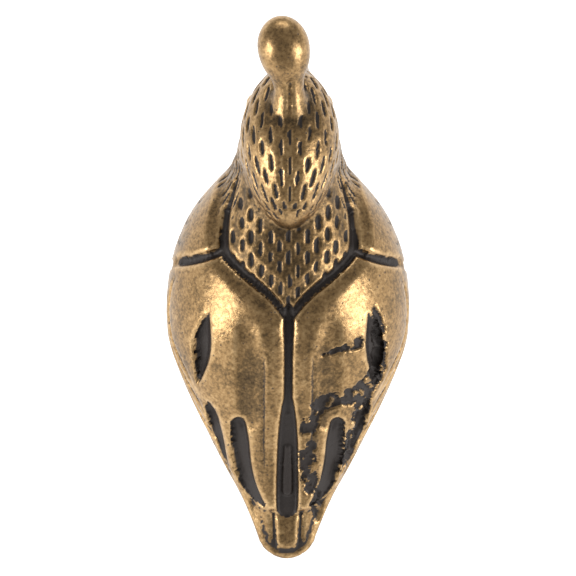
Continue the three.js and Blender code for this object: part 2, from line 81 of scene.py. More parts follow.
def catmull_rom(points, steps):
    """Points of a Catmull-Rom curve through these, as one array for each of their numbers."""
    p = np.array(points, float)
    t = np.linspace(0, len(p) - 1, steps + 1)
    i = np.minimum(t.astype(int), len(p) - 2)
    f = (t - i)[:, None]
    p0 = p[np.maximum(i - 1, 0)]
    p1 = p[i]
    p2 = p[i + 1]
    p3 = p[np.minimum(i + 2, len(p) - 1)]
    v0 = (p2 - p0) / 2
    v1 = (p3 - p1) / 2
    return ((2 * p1 - 2 * p2 + v0 + v1) * f**3 + (-3 * p1 + 3 * p2 - 2 * v0 - v1) * f**2 + v0 * f + p1).T


def smoothstep(x, low, high):
    t = np.clip((x - low) / (high - low), 0, 1)
    return t * t * (3 - 2 * t)


def lerp(a, b, share):
    return a + (b - a) * share


def join(a, b, radius):
    """Joins two distances with a fillet of about this radius."""
    near = np.maximum(radius - np.abs(a - b), 0) / radius
    return np.minimum(a, b) - near * near * radius * 0.25


def egg(x, y, z, ahead, behind, side, above, below, power_ahead=2, power_behind=2):
    """Distance to an egg whose reach differs ahead and behind, and above and below.

    A power below 2 makes its end more pointed."""
    power = np.where(y > 0, power_ahead, power_behind)
    lengthwise = np.abs(y) / np.where(y > 0, ahead, behind)
    around = np.hypot(x / side, z / np.where(z > 0, above, below))
    reach = np.maximum((lengthwise**power + around**power) ** (1 / power), 1e-6)
    return np.sqrt(x * x + y * y + z * z) * (1 - 1 / reach)


def rod(x, y, z, start, end):
    """Distance to a rod with round ends: each end is (across, ahead, up, radius)."""
    ax, ay, az, start_radius = start
    bx, by, bz, end_radius = end
    ux, uy, uz = bx - ax, by - ay, bz - az
    at = np.clip(((x - ax) * ux + (y - ay) * uy + (z - az) * uz) / (ux * ux + uy * uy + uz * uz), 0, 1)
    away = np.sqrt((x - ax - at * ux) ** 2 + (y - ay - at * uy) ** 2 + (z - az - at * uz) ** 2)
    return away - lerp(start_radius, end_radius, at)


def groove(path, depth, flat=0.35):
    """A groove along a smooth path of (across, along, half width) points.

    It gives the depth of the cut at (across, along): full on its flat middle, less where it is narrow."""
    px, py, widths = catmull_rom(path, 8 * len(path))
    reach = widths.max()

    def depth_at(across, along):
        cut = np.zeros_like(across)
        near = (across > px.min() - reach) & (across < px.max() + reach)
        near &= (along > py.min() - reach) & (along < py.max() + reach)
        if not near.any():
            return cut
        x = across[near]
        y = along[near]
        deepest = np.zeros_like(x)
        for i in range(len(px) - 1):
            ux, uy = px[i + 1] - px[i], py[i + 1] - py[i]
            at = np.clip(((x - px[i]) * ux + (y - py[i]) * uy) / (ux * ux + uy * uy), 0, 1)
            width = lerp(widths[i], widths[i + 1], at)
            share = np.hypot(x - px[i] - at * ux, y - py[i] - at * uy) / width
            deepest = np.maximum(deepest, np.sqrt(width / reach) * (1 - smoothstep(share, flat, 1)))
        cut[near] = depth * deepest
        return cut

    return depth_at


# Body

half_width_at = smooth_curve([*HALF_WIDTHS, (WIDEST_AT, BODY_WIDTH / 2)])
depth_above_at = smooth_curve([*HALF_DEPTHS_ABOVE, (WIDEST_AT, DEPTH_ABOVE)])
depth_below_at = smooth_curve([*HALF_DEPTHS_BELOW, (WIDEST_AT, DEPTH_BELOW)])


def body(x, along, out):
    off = out - BODY_LEAN * along
    deep = np.where(off > 0, depth_above_at(along), depth_below_at(along))
    around = np.hypot(x / half_width_at(along), off / deep)
    ahead = np.maximum(along - WIDEST_AT, 0)
    share = ahead / (BODY_LENGTH - WIDEST_AT)
    behind = np.maximum(TAIL_CAP - along, 0)
    breast = (share**BREAST_POWER + around**BREAST_POWER) ** (1 / BREAST_POWER)
    reach = np.where(along > WIDEST_AT, breast, np.hypot(behind / TAIL_CAP, around))
    away = np.sqrt(x * x + off * off + np.where(along > WIDEST_AT, ahead, behind) ** 2)
    return away * (1 - 1 / np.maximum(reach, 1e-6))


# Paths of the carving on the bird's left, mirrored to its right: (across, along, half width)
MANTLE_EDGE = [
    (3.8, 28.1, 0.16), (4.2, 26.8, 0.25), (4.55, 25.6, 0.36), (4.72, 24.2, 0.44), (4.62, 22.8, 0.47),
    (3.65, 21.6, 0.46), (2.65, 20.7, 0.45), (1.7, 19.9, 0.43), (0.95, 19.15, 0.4), (0.3, 18.3, 0.38),
]
WING_PARTING = [(0, 18.6, 0.5), (0, 17.2, 0.48), (0, 15.6, 0.4), (0, 13, 0.4), (0, 11.2, 0.46)]
TIP_PARTING = [(0, 12.4, 0.3), (0, 11.2, 0.56), (0, 9.5, 0.76), (0, 7.5, 0.86), (0, 5, 0.9), (0, 3.9, 0.88)]
HIDDEN_FEATHER = [(0, 8.4, 0.3), (0, 6.5, 0.42), (0, 5.15, 0.44)]
WING_FRONT = [(4.7, 22.95, 0.4), (5.9, 22.5, 0.45), (7.2, 22.2, 0.48), (8.5, 22.05, 0.44), (9.2, 21.9, 0.16)]
SHOULDER_SLOT = [
    (5.84, 18.35, 0.08), (6.08, 17.4, 0.42), (6.28, 16.4, 0.72), (6.33, 15.6, 0.72), (6.34, 14.7, 0.52),
    (6.48, 13.4, 0.08),
]
OUTER_FLIGHT_GAP = [
    (5.92, 11.75, 0.12), (5.58, 10.9, 0.38), (5.24, 9.8, 0.38), (4.95, 8.9, 0.28), (4.7, 8, 0.17),
    (4.45, 7, 0.12),
]
INNER_FLIGHT_GAP = [
    (3.65, 10.15, 0.6), (3.53, 9.05, 0.72), (3.34, 7.26, 0.72), (2.9, 5.86, 0.56), (2.27, 4.7, 0.36),
    (1.8, 4.1, 0.2),
]
BACK_GROOVES = [
    groove(MANTLE_EDGE, 0.5),
    groove(WING_PARTING, 0.6),
    groove(TIP_PARTING, 0.6, flat=0.7),
    groove(WING_FRONT, 0.48),
    groove(SHOULDER_SLOT, 0.75, flat=0.55),
    groove(OUTER_FLIGHT_GAP, 0.6, flat=0.55),
    groove(INNER_FLIGHT_GAP, 0.7, flat=0.7),
]
hidden_feather = groove(HIDDEN_FEATHER, 0.26, flat=0.6)


def widened(path, half_width):
    return [(across, along, half_width) for across, along, _ in path]


SOFT_GROOVES = [
    groove(widened(MANTLE_EDGE, 1.5), 0.3),
    groove(widened(WING_PARTING, 1.2), 0.25),
    groove(widened(TIP_PARTING, 1.5), 0.25),
    groove([(3.1, 17, 1), (2.9, 14.5, 1.3), (2.8, 10.5, 1.1)], 0.25),
]
SHOULDER_RIDGE = [
    (6.5, 19.3, 0.8), (5.6, 19, 1), (4.9, 18.1, 1.15), (4.65, 16.6, 1.15), (4.8, 14.8, 1), (5.2, 13, 0.8),
]
shoulder_swell = groove(SHOULDER_RIDGE, 0.42, flat=0.15)

WING_TIPS = [(0, 3.4), (1, 3.85), (1.8, 4.05), (2.6, 4.75), (3.4, 5.5), (4.2, 6.5), (5.5, 7.3)]
wing_tip_at = smooth_curve(WING_TIPS)
TAIL_STEP = 0.45
TAIL_LINE = 0.32
TAIL_FEATHER_EDGES = (0.85, 2.05)


def tail_carving(across, along):
    """The tail's step below the wing tips, and the lines between its feathers."""
    behind_wing = smoothstep(wing_tip_at(across) - along, 0, 0.4)
    spread = lerp(1, 1.25, np.clip(along / 4, 0, 1))
    between = np.zeros_like(across)
    for edge in TAIL_FEATHER_EDGES:
        between = np.maximum(between, 1 - smoothstep(np.abs(across - edge * spread), 0.06, 0.26))
    line = TAIL_LINE * between * smoothstep(along, 0.3, 1)
    return behind_wing * (TAIL_STEP + line), behind_wing * line


WING_EDGE = [(3, 0.2), (6, -0.4), (10, -1.1), (14, -2.1), (18, -3), (20.6, -2.2), (21.4, 0.5)]
wing_edge_at = smooth_curve(WING_EDGE)
BELLY_STEP = 0.55
BELLY_FADE = 5
FLANK_FEATHERS = (1.1, 2.3, 3.5, 4.5)
FLANK_LINE = 0.24


def flank_carving(along, out):
    """The step below the wing and the cut at its front, the narrow cuts alone, and the feather lines."""
    off = out - BODY_LEAN * along
    over_edge = off - wing_edge_at(along)
    belly = (1 - smoothstep(over_edge, -0.55, 0.05)) * smoothstep(over_edge, -BELLY_FADE, -1)
    crease = 1 - smoothstep(np.abs(over_edge + 0.4), 0.1, 0.6)
    on_wing = smoothstep(along, 4, 6) * (1 - smoothstep(along, 21.2, 22))
    line = np.zeros_like(along)
    for height in FLANK_FEATHERS:
        line_end = smoothstep(along, 6, 7) * (1 - smoothstep(along, 15.5 + height, 17 + height))
        line = np.maximum(line, line_end * (1 - smoothstep(np.abs(over_edge - height), 0.08, 0.34)))
    breast_groove = 1 - smoothstep(np.abs(along - 21.9 + 0.05 * off), 0.15, 0.42)
    breast_groove = 0.45 * breast_groove * smoothstep(off, -3.2, -1.6) * (1 - smoothstep(off, 0, 1.6))
    carved = np.maximum(belly * BELLY_STEP * on_wing, breast_groove)
    cuts = np.maximum(crease * BELLY_STEP * on_wing, breast_groove)
    return carved, cuts, line * FLANK_LINE * on_wing


def body_carving(x, along, out):
    """Depth of the body's carving, and of its narrow cuts alone."""
    across = np.abs(x)
    on_back = smoothstep((out - BODY_LEAN * along) / depth_above_at(along), 0.15, 0.4)
    flank, flank_cuts, line = flank_carving(along, out)
    line = line * (1 - smoothstep(np.abs(x) / half_width_at(along), 0.95, 0.9))
    tail, tail_line = tail_carving(across, along)
    grooves = np.maximum.reduce([depth_at(across, along) for depth_at in BACK_GROOVES])
    grooves = grooves - hidden_feather(across, along)
    sharp = np.maximum(tail, grooves)
    soft = np.zeros_like(across)
    for depth_at in SOFT_GROOVES:
        soft = np.maximum(soft, depth_at(across, along))
    relief = soft - shoulder_swell(across, along)
    depth = np.maximum(flank * (1 - on_back), sharp * on_back) + on_back * relief
    cuts = np.maximum(flank_cuts * (1 - on_back), np.maximum(grooves, tail_line) * on_back)
    return np.maximum(depth, line), np.maximum(cuts, line)


# Neck, head, beak, eyes and plume

NECK_LOW = (0, 24.4, 6.2, 6)
NECK_HIGH = (0, 29.8, 10.9, 3.85)
HOOD_ALONG = 31
HOOD_OUT = 12.5
HOOD = {
    "ahead": 5.3, "behind": 6.5, "side": HEAD_WIDTH / 2, "above": 4.1, "below": 4.2,
    "power_ahead": 1.95, "power_behind": 1.75,
}
HOOD_NOD = math.radians(-6)

BEAK_ROOT = (0, 29.2, 26.1, 1.85)
BEAK_MIDDLE = (0, 31.2, 25.6, 1.2)
BEAK_TIP = (0, 32.5, 24.4, 0.5)
MOUTH_DROP = 0.55
EYE_ACROSS, EYE_AHEAD, EYE_UP, EYE_RADIUS = 2.4, 27.6, 26.7, 0.75
PLUME_ROOT = (0, 25.6, 29.6, 1.45)
PLUME_NECK = (-0.1, 27, 31.4, 1.05)
KNOB_ACROSS, KNOB_AHEAD, KNOB_UP = -0.5, 29.2, 33.6
KNOB_LIFT = math.radians(45)
KNOB_LEAN = math.radians(9)
KNOB = {"ahead": 2.35, "behind": 2.9, "side": 1.88, "above": 1.75, "below": 1.75}


def hood_axes(x, along, out):
    """Places on the hood's own axes: across, towards the forehead, towards the crown."""
    y = along - HOOD_ALONG
    z = out - HOOD_OUT
    c, s = math.cos(HOOD_NOD), math.sin(HOOD_NOD)
    return x, y * c + z * s, z * c - y * s


def mouth_line(y):
    return BEAK_MIDDLE[2] - MOUTH_DROP - 0.55 * np.maximum(y - BEAK_MIDDLE[1], 0)


def beak(x, y, z):
    upper = join(rod(x, y, z, BEAK_ROOT, BEAK_MIDDLE), rod(x, y, z, BEAK_MIDDLE, BEAK_TIP), 0.5)
    return upper + 0.5 * np.maximum(0.25 - np.abs(z - mouth_line(y)), 0) * smoothstep(y, 29.6, 30.4)


def eye_ring(y, z):
    aside = np.hypot(y - EYE_AHEAD, z - EYE_UP)
    return 1 - smoothstep(np.abs(aside - EYE_RADIUS - 0.1), 0.05, 0.4)


def plume_axes(x, y, z):
    """Places on the plume knob's own axes: across, along the stem, square to it."""
    y = y - KNOB_AHEAD
    z = z - KNOB_UP
    stemwise = y * math.cos(KNOB_LIFT) + z * math.sin(KNOB_LIFT)
    return x - KNOB_ACROSS, stemwise, z * math.cos(KNOB_LIFT) - y * math.sin(KNOB_LIFT)


def plume(x, y, z):
    across, stemwise, above = plume_axes(x, y, z)
    c, s = math.cos(KNOB_LEAN), math.sin(KNOB_LEAN)
    knob = egg(across * c + stemwise * s, stemwise * c - across * s, above, **KNOB)
    parting = 0.16 * (1 - smoothstep(np.abs(x + 0.05), 0.05, 0.3)) * smoothstep(-stemwise, 1.8, 2.6)
    return join(rod(x, y, z, PLUME_ROOT, PLUME_NECK), knob, 0.9) + parting


# Legs

FOOT_AHEAD = 15.2
THIGH = (3.1, 15.4, 7.6, 2.9)
HEEL = (FEET_APART / 2, 14.9, 3.6, 1.5)
SHANK = (FEET_APART / 2, 14.8, 3, 1.05)
ANKLE = (FEET_APART / 2, FOOT_AHEAD, 0.6, 1)
TOE_RADIUS = 0.72
TOE_HEIGHT = 0.5
TOES = [(2, 5.2), (27, 4.6), (-22, 4.4), (174, 2.9)]  # (degrees outward, length)


def leg(x, y, z):
    x = np.abs(x)
    foot = rod(x, y, z, SHANK, ANKLE)
    for turn, length in TOES:
        angle = math.radians(turn)
        root = (ANKLE[0], ANKLE[1], TOE_HEIGHT, TOE_RADIUS)
        aside = root[0] + length * math.sin(angle)
        ahead = root[1] + length * math.cos(angle)
        foot = join(foot, rod(x, y, z, root, (aside, ahead, TOE_HEIGHT - 0.15, 0.42)), 0.5)
    return join(rod(x, y, z, THIGH, HEEL), foot, 0.7)


# The whole casting

def back_axes(y, z):
    """Places along the back, from the tail tip, and square out of it."""
    c, s = math.cos(BACK_SLOPE), math.sin(BACK_SLOPE)
    return y * c + (z - TAIL_HEIGHT) * s, (z - TAIL_HEIGHT) * c - y * s


def casting(points):
    x, y, z = points.T
    along, out = back_axes(y, z)
    trunk = join(body(x, along, out), rod(x, along, out, NECK_LOW, NECK_HIGH), 2.2)
    trunk = trunk + body_carving(x, along, out)[0] * (np.abs(trunk) < 2)
    hood = egg(*hood_axes(x, along, out), **HOOD)
    head = join(hood, beak(x, y, z), 0.9) + 0.22 * eye_ring(y, z)
    eye = np.sqrt((np.abs(x) - EYE_ACROSS) ** 2 + (y - EYE_AHEAD) ** 2 + (z - EYE_UP) ** 2) - EYE_RADIUS
    whole = join(trunk, join(head, eye, 0.15), 0.35)
    whole = join(whole, plume(x, y, z), 0.5)
    whole = join(whole, leg(x, y, z), 0.9)
    return join_hard(whole, -z)


def join_hard(inside, above_ground):
    """Cuts the soles flat at the ground."""
    return np.maximum(inside, above_ground)


def slope(points, field, step=0.02):
    """The field's slope at each point."""
    found = np.empty_like(points)
    for axis in range(3):
        move = np.zeros(3)
        move[axis] = step
        found[:, axis] = (field(points + move) - field(points - move)) / (2 * step)
    return found


# Mesh

def base_mesh():
    """An even, closed mesh of the solid, as points in the bird's own places and triangles."""
    source = bpy.data.objects[NODE] if NODE in bpy.data.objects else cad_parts[NODE]
    copy = bpy.data.objects.new("base", source.data.copy())
    copy.data.transform(Matrix.Scale(1 / MM, 4))
    bpy.context.scene.collection.objects.link(copy)
    even = copy.modifiers.new("even", "REMESH")
    even.mode = "VOXEL"
    even.voxel_size = VOXEL
    mesh = bpy.data.meshes.new_from_object(copy.evaluated_get(bpy.context.evaluated_depsgraph_get()))
    mesh.calc_loop_triangles()
    points = np.empty(3 * len(mesh.vertices))
    mesh.vertices.foreach_get("co", points)
    faces = np.empty(3 * len(mesh.loop_triangles), np.int64)
    mesh.loop_triangles.foreach_get("vertices", faces)
    bpy.data.objects.remove(copy)
    bpy.data.meshes.remove(mesh)
    points = points.reshape(-1, 3)
    points = np.column_stack([-points[:, 0], LENGTH_MIDDLE - points[:, 1], points[:, 2]])
    return points, faces.reshape(-1, 3)


def edges_of(faces):
    """Unique edges, and for each face the numbers of the edges from corner 0, 1 and 2 to the next corner."""
    pairs = np.stack([faces, np.roll(faces, -1, axis=1)], axis=2).reshape(-1, 2)
    unique, numbers = np.unique(np.sort(pairs, axis=1), axis=0, return_inverse=True)
    return unique, numbers.reshape(-1, 3)


def split_long_edges(points, faces, wanted):
    """Splits each edge that is much longer than wanted at its ends, and each face across its split edges."""
    edges, of_face = edges_of(faces)
    length = np.linalg.norm(points[edges[:, 0]] - points[edges[:, 1]], axis=1)
    split = length > 1.35 * (wanted[edges[:, 0]] + wanted[edges[:, 1]]) / 2
    middle = np.full(len(edges), -1)
    middle[split] = len(points) + np.arange(split.sum())
    points = np.vstack([points, (points[edges[split, 0]] + points[edges[split, 1]]) / 2])
    cut = middle[of_face]
    count = (cut >= 0).sum(axis=1)
    parts = [faces[count == 0]]
    for number in (1, 2):
        chosen = count == number
        corners = faces[chosen]
        cuts = cut[chosen]
        # Turn each face so that its split edge, or its whole edge, is the one from corner 0 to corner 1.
        marked = (cuts >= 0) if number == 1 else (cuts < 0)
        turn = np.argmax(marked, axis=1)
        order = (turn[:, None] + np.arange(3)) % 3
        a, b, c = np.take_along_axis(corners, order, axis=1).T
        ab, bc, ca = np.take_along_axis(cuts, order, axis=1).T
        if number == 1:
            parts += [np.column_stack([a, ab, c]), np.column_stack([ab, b, c])]
        else:
            parts += [np.column_stack([a, b, bc]), np.column_stack([a, bc, ca]), np.column_stack([ca, bc, c])]
    corners = faces[count == 3]
    cuts = cut[count == 3]
    a, b, c = corners.T
    ab, bc, ca = cuts.T
    parts += [np.column_stack(part) for part in ([a, ab, ca], [ab, b, bc], [ca, bc, c], [ab, bc, ca])]
    return points, np.vstack(parts)


def relax(points, faces, share):
    """Moves each point towards the middle of its neighbours, along the surface only."""
    edges, _ = edges_of(faces)
    total = np.zeros_like(points)
    count = np.zeros(len(points))
    for a, b in ((0, 1), (1, 0)):
        np.add.at(total, edges[:, a], points[edges[:, b]])
        np.add.at(count, edges[:, a], 1)
    move = total / count[:, None] - points
    normal = normals_of(points, faces)
    move -= normal * (move * normal).sum(axis=1)[:, None]
    return points + share * move


def normals_of(points, faces):
    corners = points[faces]
    face_normals = np.cross(corners[:, 1] - corners[:, 0], corners[:, 2] - corners[:, 0])
    normals = np.zeros_like(points)
    for corner in range(3):
        np.add.at(normals, faces[:, corner], face_normals)
    return normals / np.maximum(np.linalg.norm(normals, axis=1), 1e-12)[:, None]


def settle(points, rounds):
    """Moves the points along the field's slope onto the surface."""
    for _ in range(rounds):
        rise = slope(points, casting)
        steep = np.maximum((rise * rise).sum(axis=1), 0.3)
        move = np.clip(casting(points) / steep, -0.15, 0.15)
        points = points - rise * move[:, None]
    return points


# Engraving: dashes, lines and faults that are too fine for the solid

def unevenness(*whole_numbers):
    """A fixed value from -1 to 1 for each set of whole numbers, so that repeats differ a little."""
    mixed = sum(np.asarray(n, float) * k for n, k in zip(whole_numbers, (12.9898, 78.233, 37.719)))
    return 2 * np.modf(np.abs(np.sin(mixed) * 43758.5453))[0] - 1


def dashes(lateral, lengthwise, spacing, period, length, half_width, seed):
    """Staggered columns of dashes with narrow ends, as the cut and the raised rim round it, each from 0 to 1.

    Lateral is counted in columns."""
    column = np.round(lateral)
    aside = (lateral - column) * spacing
    shift = 0.5 * (column % 2) + 0.08 * unevenness(column, seed)
    row = np.round(lengthwise / period - shift)
    along = lengthwise - (row + shift + 0.07 * unevenness(column, row, seed)) * period
    lean = 0.07 * unevenness(column, row, seed + 2)
    aside = aside - 0.05 * unevenness(row, column, seed + 1) - lean * along
    own_length = length * (1 + 0.18 * unevenness(row, column, seed + 3))
    own_width = half_width * (1 + 0.15 * unevenness(column, row, seed + 4))
    reach = np.sqrt((aside / own_width) ** 2 + np.abs(2 * along / own_length) ** 3)
    rim = smoothstep(reach, 0.95, 1.25) * (1 - smoothstep(reach, 1.35, 2))
    return 1 - smoothstep(reach, 0.45, 1.1), rim


HOOD_COLUMN = math.radians(11.8)
HOOD_ROW = 2.05


def hood_dashes(x, along, out):
    """Dashes that run from the forehead to the nape, along the hood's meridians."""
    across, ahead, up = hood_axes(x, along, out)
    turn = np.arctan2(across / HOOD["side"], up / HOOD["above"])
    end = np.where(ahead > 0, HOOD["ahead"], HOOD["behind"])
    width = np.sqrt(np.maximum(1 - (np.abs(ahead) / end) ** 2, 0)) * HOOD["side"]
    columns = turn / HOOD_COLUMN
    spacing = HOOD_COLUMN * width
    full = dashes(columns, ahead + 0.15, spacing, HOOD_ROW, 1.4, 0.165, 1)
    sparse = dashes(columns / 2, ahead + 0.15, 2 * spacing, HOOD_ROW, 1.15, 0.16, 5)
    before_nape = 1 - smoothstep(-ahead, 5.7, 6.2)
    roomy = spacing > 0.42
    return [np.where(roomy, a, b) * before_nape for a, b in zip(full, sparse)]


def mantle_dashes(x, along):
    """Upright dashes on the mantle, between the hood and the wings."""
    lean = 1 + 0.012 * (along - 22)
    return dashes(x / lean / 0.68, along, 0.68, 1.6, 1.12, 0.19, 11)


def neck_dashes(x, along, out):
    """The same dashes, longer and narrower, round the sides and the front of the neck."""
    up_neck = np.clip((along - NECK_LOW[1]) / (NECK_HIGH[1] - NECK_LOW[1]), 0, 1)
    middle = lerp(NECK_LOW[2], NECK_HIGH[2], up_neck)
    turn = np.arctan2(x, out - middle)
    return dashes(turn / math.radians(9), along, 0.66, 1.9, 1.5, 0.16, 17)


def breast_scales(x, along, out):
    """Rows of U-shaped feather edges on the breast."""
    turn = np.arctan2(x, out - BODY_LEAN * along)
    columns = turn / math.radians(13)
    spacing = math.radians(13) * 7.5
    period = 1.5
    found = np.zeros_like(x)
    for parity in (0, 1):
        column = 2 * np.round((columns - parity) / 2) + parity
        aside = (columns - column) * spacing
        row = np.round(along / period - 0.5 * parity)
        ahead = along - (row + 0.5 * parity) * period
        rim = np.abs(np.hypot(aside, ahead - 0.25) - 0.78)
        found = np.maximum(found, (1 - smoothstep(rim, 0.05, 0.16)) * smoothstep(0.35 - ahead, 0, 0.25))
    return found


# The casting fault on the bird's right wing: sharp-edged islands of sound metal left in rough dark ground.
# Paths and islands are given with across positive on the bird's right.
FAULT_DEPTH = 0.24
fault_paths = [
    groove([
        (6.3, 18.9, 0.5), (6.6, 17.2, 1), (6.75, 15.2, 1.15), (6.3, 13.6, 1.2), (5.1, 12.4, 1.2),
        (3.5, 12, 1.1), (2.1, 11.3, 1.15), (1.5, 9.6, 1.25), (1.5, 7.6, 1.3), (1.7, 5.6, 1.15),
        (2.2, 3.9, 0.8), (2.3, 3, 0.5),
    ], 1, flat=0.1),
    groove([(2.5, 15.3, 0.3), (3.8, 15.7, 0.5), (5.4, 16.2, 0.8)], 1, flat=0.1),
    groove([(5.7, 12.2, 1), (5, 10.2, 0.8), (4.4, 8.2, 0.7), (3.9, 6.6, 0.5)], 1, flat=0.1),
]
SOUND_ISLANDS = [
    (1.4, 11.1, 0.62), (1.05, 9, 0.6), (2, 8.1, 0.34), (1.95, 6.9, 0.52), (1.1, 5.6, 0.4), (1.75, 4.6, 0.5),
]


def fault_spread(x, along):
    """How far the fault has spread at each place, from 0 to 1."""
    spread = np.maximum.reduce([path(x, along) for path in fault_paths])
    return np.where(x > 0, spread, 0)


def islands(x, along, size, radius, seed):
    """How far each place is inside the nearest of many scattered round islands."""
    rows = np.floor(along / size)
    columns = np.floor(x / size)
    inside = np.full_like(x, -np.inf)
    for i in (-1, 0, 1):
        for j in (-1, 0, 1):
            cx = columns + i
            cy = rows + j
            away = np.hypot(
                x - (cx + 0.5 + 0.45 * unevenness(cx, cy, seed)) * size,
                along - (cy + 0.5 + 0.45 * unevenness(cy, cx, seed + 1)) * size,
            )
            inside = np.maximum(inside, radius * (1 + 0.6 * unevenness(cx + 31, cy, seed + 2)) - away)
    return inside


def fault(x, along):
    """How much of the surface is eaten away at each place, from 0 to 1."""
    spread = fault_spread(x, along)
    ragged = 0.05 * np.sin(9 * x + 5 * np.sin(7 * along)) + 0.04 * np.sin(23 * along + 4 * np.sin(17 * x))
    solid = np.maximum(islands(x, along, 0.85, 0.3, 3), islands(x, along, 0.4, 0.12, 7))
    for across, place, radius in SOUND_ISLANDS:
        solid = np.maximum(solid, radius - np.hypot(x - across, along - place))
    solid = solid + ragged + 0.75 * (1 - smoothstep(spread, 0.05, 0.75))
    return (1 - smoothstep(solid, 0.1, 0.19)) * smoothstep(spread, 0.02, 0.1)


def eye_patch(y, z):
    return 1 - smoothstep(np.hypot(y - EYE_AHEAD, z - EYE_UP), 1.15, 1.45)


mantle_edge_across, mantle_edge_along, _ = catmull_rom(MANTLE_EDGE, 8 * len(MANTLE_EDGE))


def inside_mantle(across, along):
    """How far inside the mantle's edge each place is, in millimetres."""
    edge = np.interp(along, mantle_edge_along[::-1], mantle_edge_across[::-1])
    return np.where(along > mantle_edge_along.min() - 0.3, edge - across, -1)


class Surroundings:
    """Where the points of the surface lie: places on the back's axes, and on or near which form."""

    def __init__(self, points):
        self.x, self.y, self.z = points.T
        self.across = np.abs(self.x)
        self.along, self.out = back_axes(self.y, self.z)
        self.off = (self.out - BODY_LEAN * self.along) / depth_above_at(self.along)
        self.hood = egg(*hood_axes(self.x, self.along, self.out), **HOOD)
        self.body = body(self.x, self.along, self.out)
        self.neck = rod(self.x, self.along, self.out, NECK_LOW, NECK_HIGH)
        self.plume = plume(self.x, self.y, self.z)
        self.on_plume = 1 - smoothstep(self.plume, 0.02, 0.15)
        face = np.sqrt((self.y - 31) ** 2 + (self.z - 25.8) ** 2 + self.x**2) - 2.6
        off_face = smoothstep(face, 0, 0.4) * (1 - self.on_plume)
        on_top = smoothstep(np.minimum(self.body, self.neck) - self.hood, 0, 0.2)
        off_eye = 1 - eye_patch(self.y, self.z)
        self.on_hood = on_top * smoothstep(0.4 - self.hood, 0, 0.2) * off_face * off_eye
        self.on_back = smoothstep(self.off, 0.15, 0.4)
        self.clear_of_hood = smoothstep(self.hood, 0.1, 0.3) * (1 - self.on_plume)
        inside = smoothstep(inside_mantle(self.across, self.along), 0.3, 0.5)
        self.on_mantle = inside * self.on_back * self.clear_of_hood * (self.along < 28.4)
        round_neck = smoothstep(self.body - self.neck, -0.1, 0.5) * smoothstep(self.along, 25, 26)
        self.round_neck = round_neck * self.clear_of_hood * (1 - self.on_mantle) * off_face
        self.on_breast = smoothstep(self.along, 22.4, 23) * (1 - self.round_neck) * (1 - self.on_mantle)


RIM_HEIGHT = 0.03
fine_line = groove([(1.85, 16.2, 0.1), (1.8, 13, 0.16), (1.78, 9, 0.16), (1.74, 6.8, 0.12)], 1)
beside_fine_line = groove([(2, 15, 0.25), (1.96, 11, 0.35), (1.92, 8, 0.25)], 1, flat=0)
wing_valley = groove([(2.7, 15.5, 0.8), (2.9, 13.5, 1.2), (2.8, 10.5, 1)], 1, flat=0)


def engraving(at):
    """Depth of the fine engraving, how dark its recess is, and how bright its worn rim is."""
    depth = np.zeros_like(at.x)
    recess = np.zeros_like(at.x)
    worn = np.zeros_like(at.x)
    for mask, (cut, rim), deep in (
        (at.on_hood, hood_dashes(at.x, at.along, at.out), 0.16),
        (at.on_mantle, mantle_dashes(at.x, at.along), 0.17),
        (at.round_neck, neck_dashes(at.x, at.along, at.out), 0.13),
    ):
        depth = depth + mask * (deep * cut - RIM_HEIGHT * rim)
        recess = np.maximum(recess, mask * smoothstep(cut, 0.2, 0.65))
        worn = np.maximum(worn, mask * rim)
    for mask, cut, deep, dark in (
        (at.on_breast * (1 - at.on_back), breast_scales(at.x, at.along, at.out), 0.06, 0.7),
        (at.on_back, fine_line(at.across, at.along), 0.07, 0.55),
        (at.on_back, fault(at.x, at.along), FAULT_DEPTH, 1),
    ):
        depth = np.maximum(depth, mask * cut * deep)
        recess = np.maximum(recess, mask * cut * dark)
    return depth, recess, worn


def tarnish_and_shade_of(at):
    """How dull and dark the metal is between the engraving, from 0 for polished to 1: tarnish on the mantle
    and round the neck, painted shade under the nape, in the wing's valley and beside the fine line's step,
    and plain darkening round the plume's root and towards the bottom.
    """
    # Painted shade: the back just under the hood's overhanging nape is darkened
    shade_below_nape = (1 - smoothstep(at.hood, 0.25, 1.5)) * at.clear_of_hood * (at.along < 27.5) * at.on_back
    # Darker round the root of the plume
    at_plume_root = (1 - smoothstep(at.plume, 0.1, 0.9)) * (1 - at.on_plume)
    # Painted shade: the wing's shallow valley is darkened
    valley_shade = wing_valley(at.across, at.along)
    # Painted shade: the strip on the low side of the fine line's step is darkened
    shade_by_fine_line = beside_fine_line(at.across, at.along)
    return np.clip(np.maximum.reduce([
        0.5 * at.on_mantle,
        0.4 * at.round_neck,
        0.95 * shade_below_nape,
        0.9 * at_plume_root,
        0.55 * valley_shade * at.on_back,
        0.5 * shade_by_fine_line * at.on_back,
        # Darker towards the bottom, off the back
        0.6 * (1 - smoothstep(at.z, 1, 9)) * (1 - at.on_back),
    ]), 0, 1)


def curvature(points, reach):
    """How much the surface bulges within this reach: above 0 on ridges, below 0 in creases."""
    total = -6 * casting(points)
    for axis in range(3):
        move = np.zeros(3)
        move[axis] = reach
        total = total + casting(points + move) + casting(points - move)
    return total / reach


